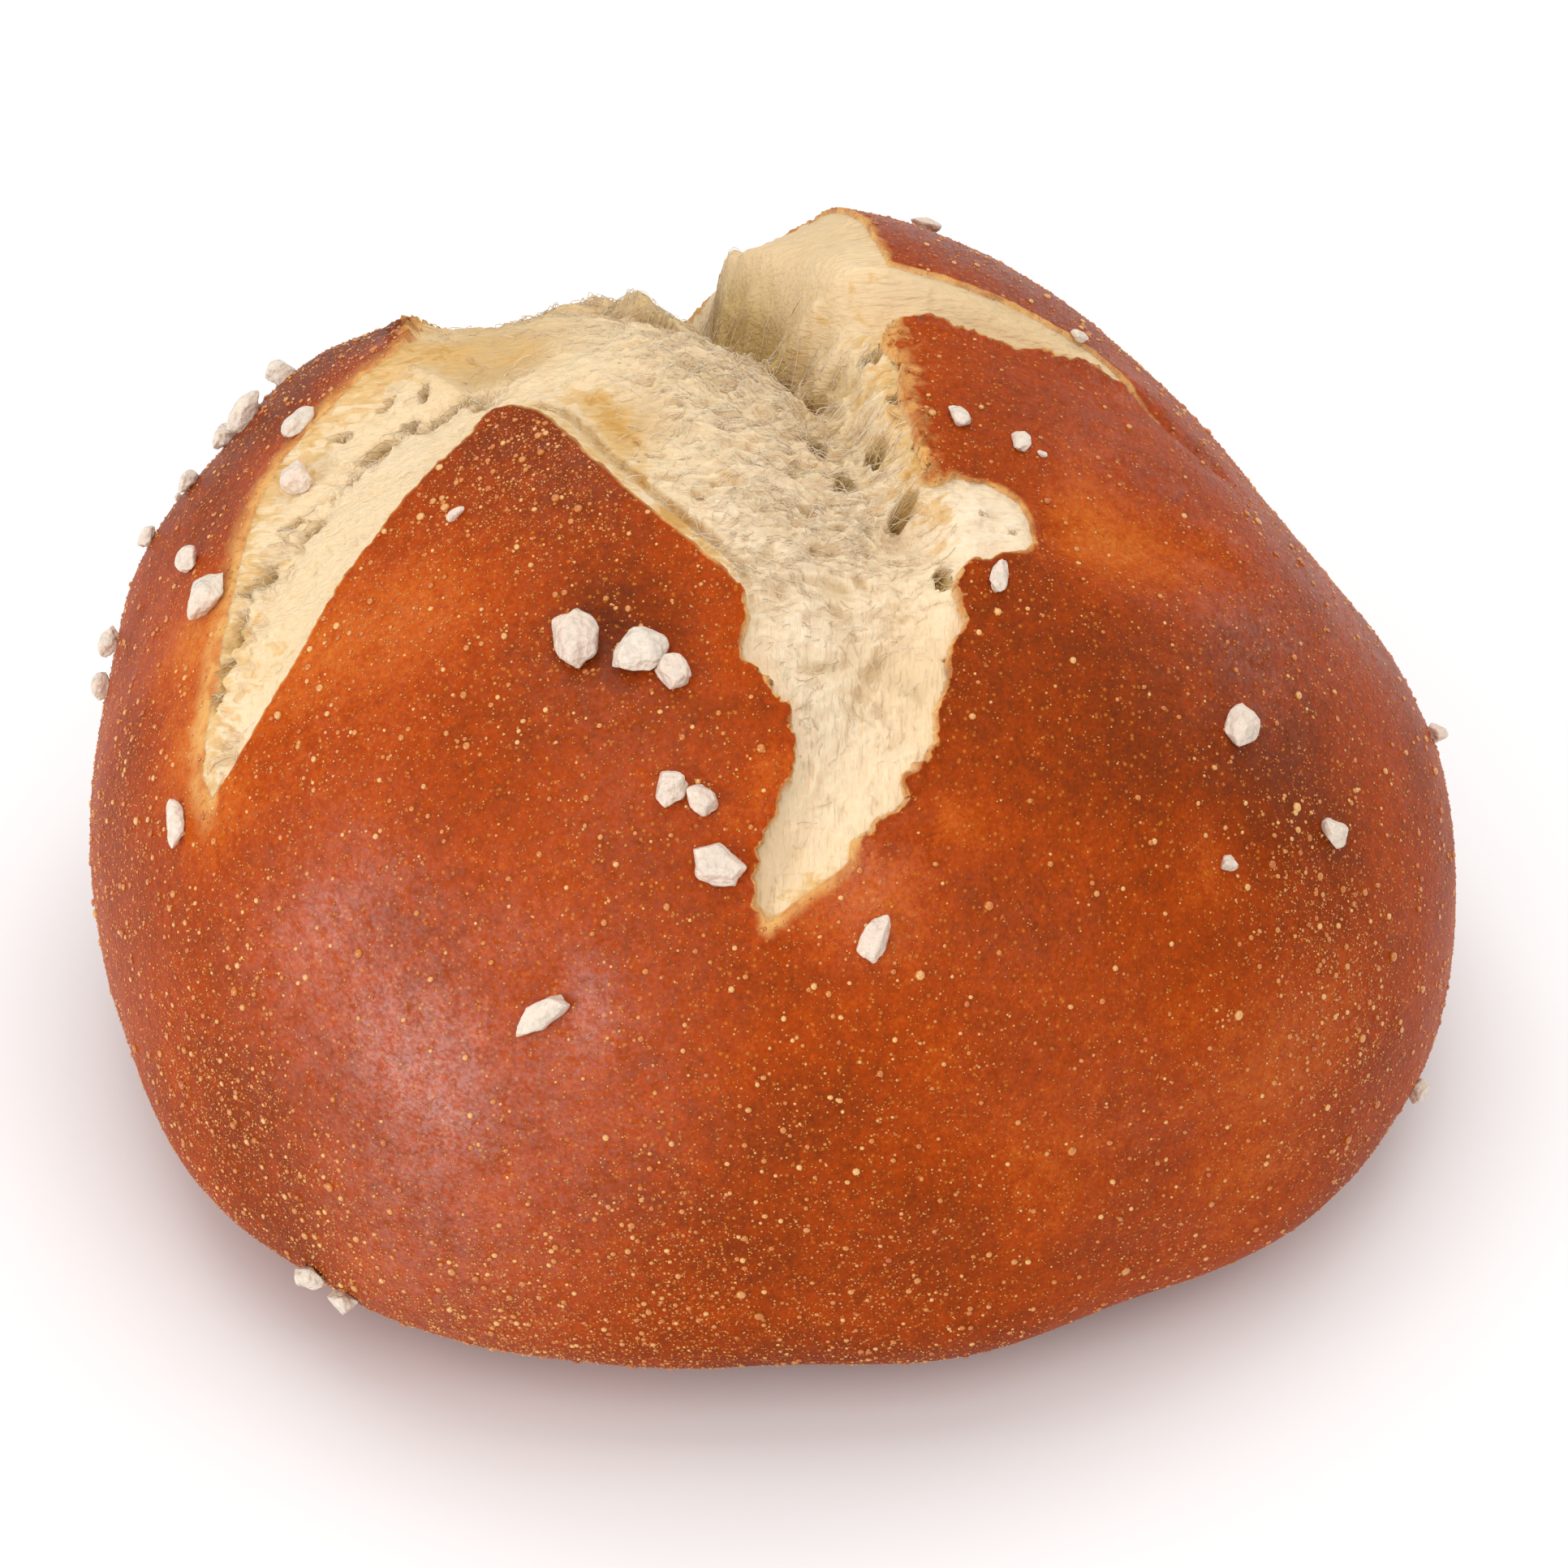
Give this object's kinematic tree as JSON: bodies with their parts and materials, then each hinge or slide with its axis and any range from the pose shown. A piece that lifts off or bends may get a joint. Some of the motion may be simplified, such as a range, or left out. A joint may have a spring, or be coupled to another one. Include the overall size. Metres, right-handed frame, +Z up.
{
  "type": "pretzel roll",
  "caption": "Round lye-baked bun on a flat base, its crossed cut torn wide open on top to show the crumb between four crust flaps.",
  "frame": {"origin": "middle of the roll's outline on the surface it rests on, at the base", "axes": "+Z up through the torn top; -Y towards the viewer, along the cut's front arm; +X to the viewer's right"},
  "size_m": [0.0996, 0.0962, 0.06],
  "materials": {
    "crust": "thin deep orange-brown lye-baked crust, leathery and semi-glossy"
  },
  "bodies": {
    "root": {"roll": "crust"}
  },
  "joints": []
}
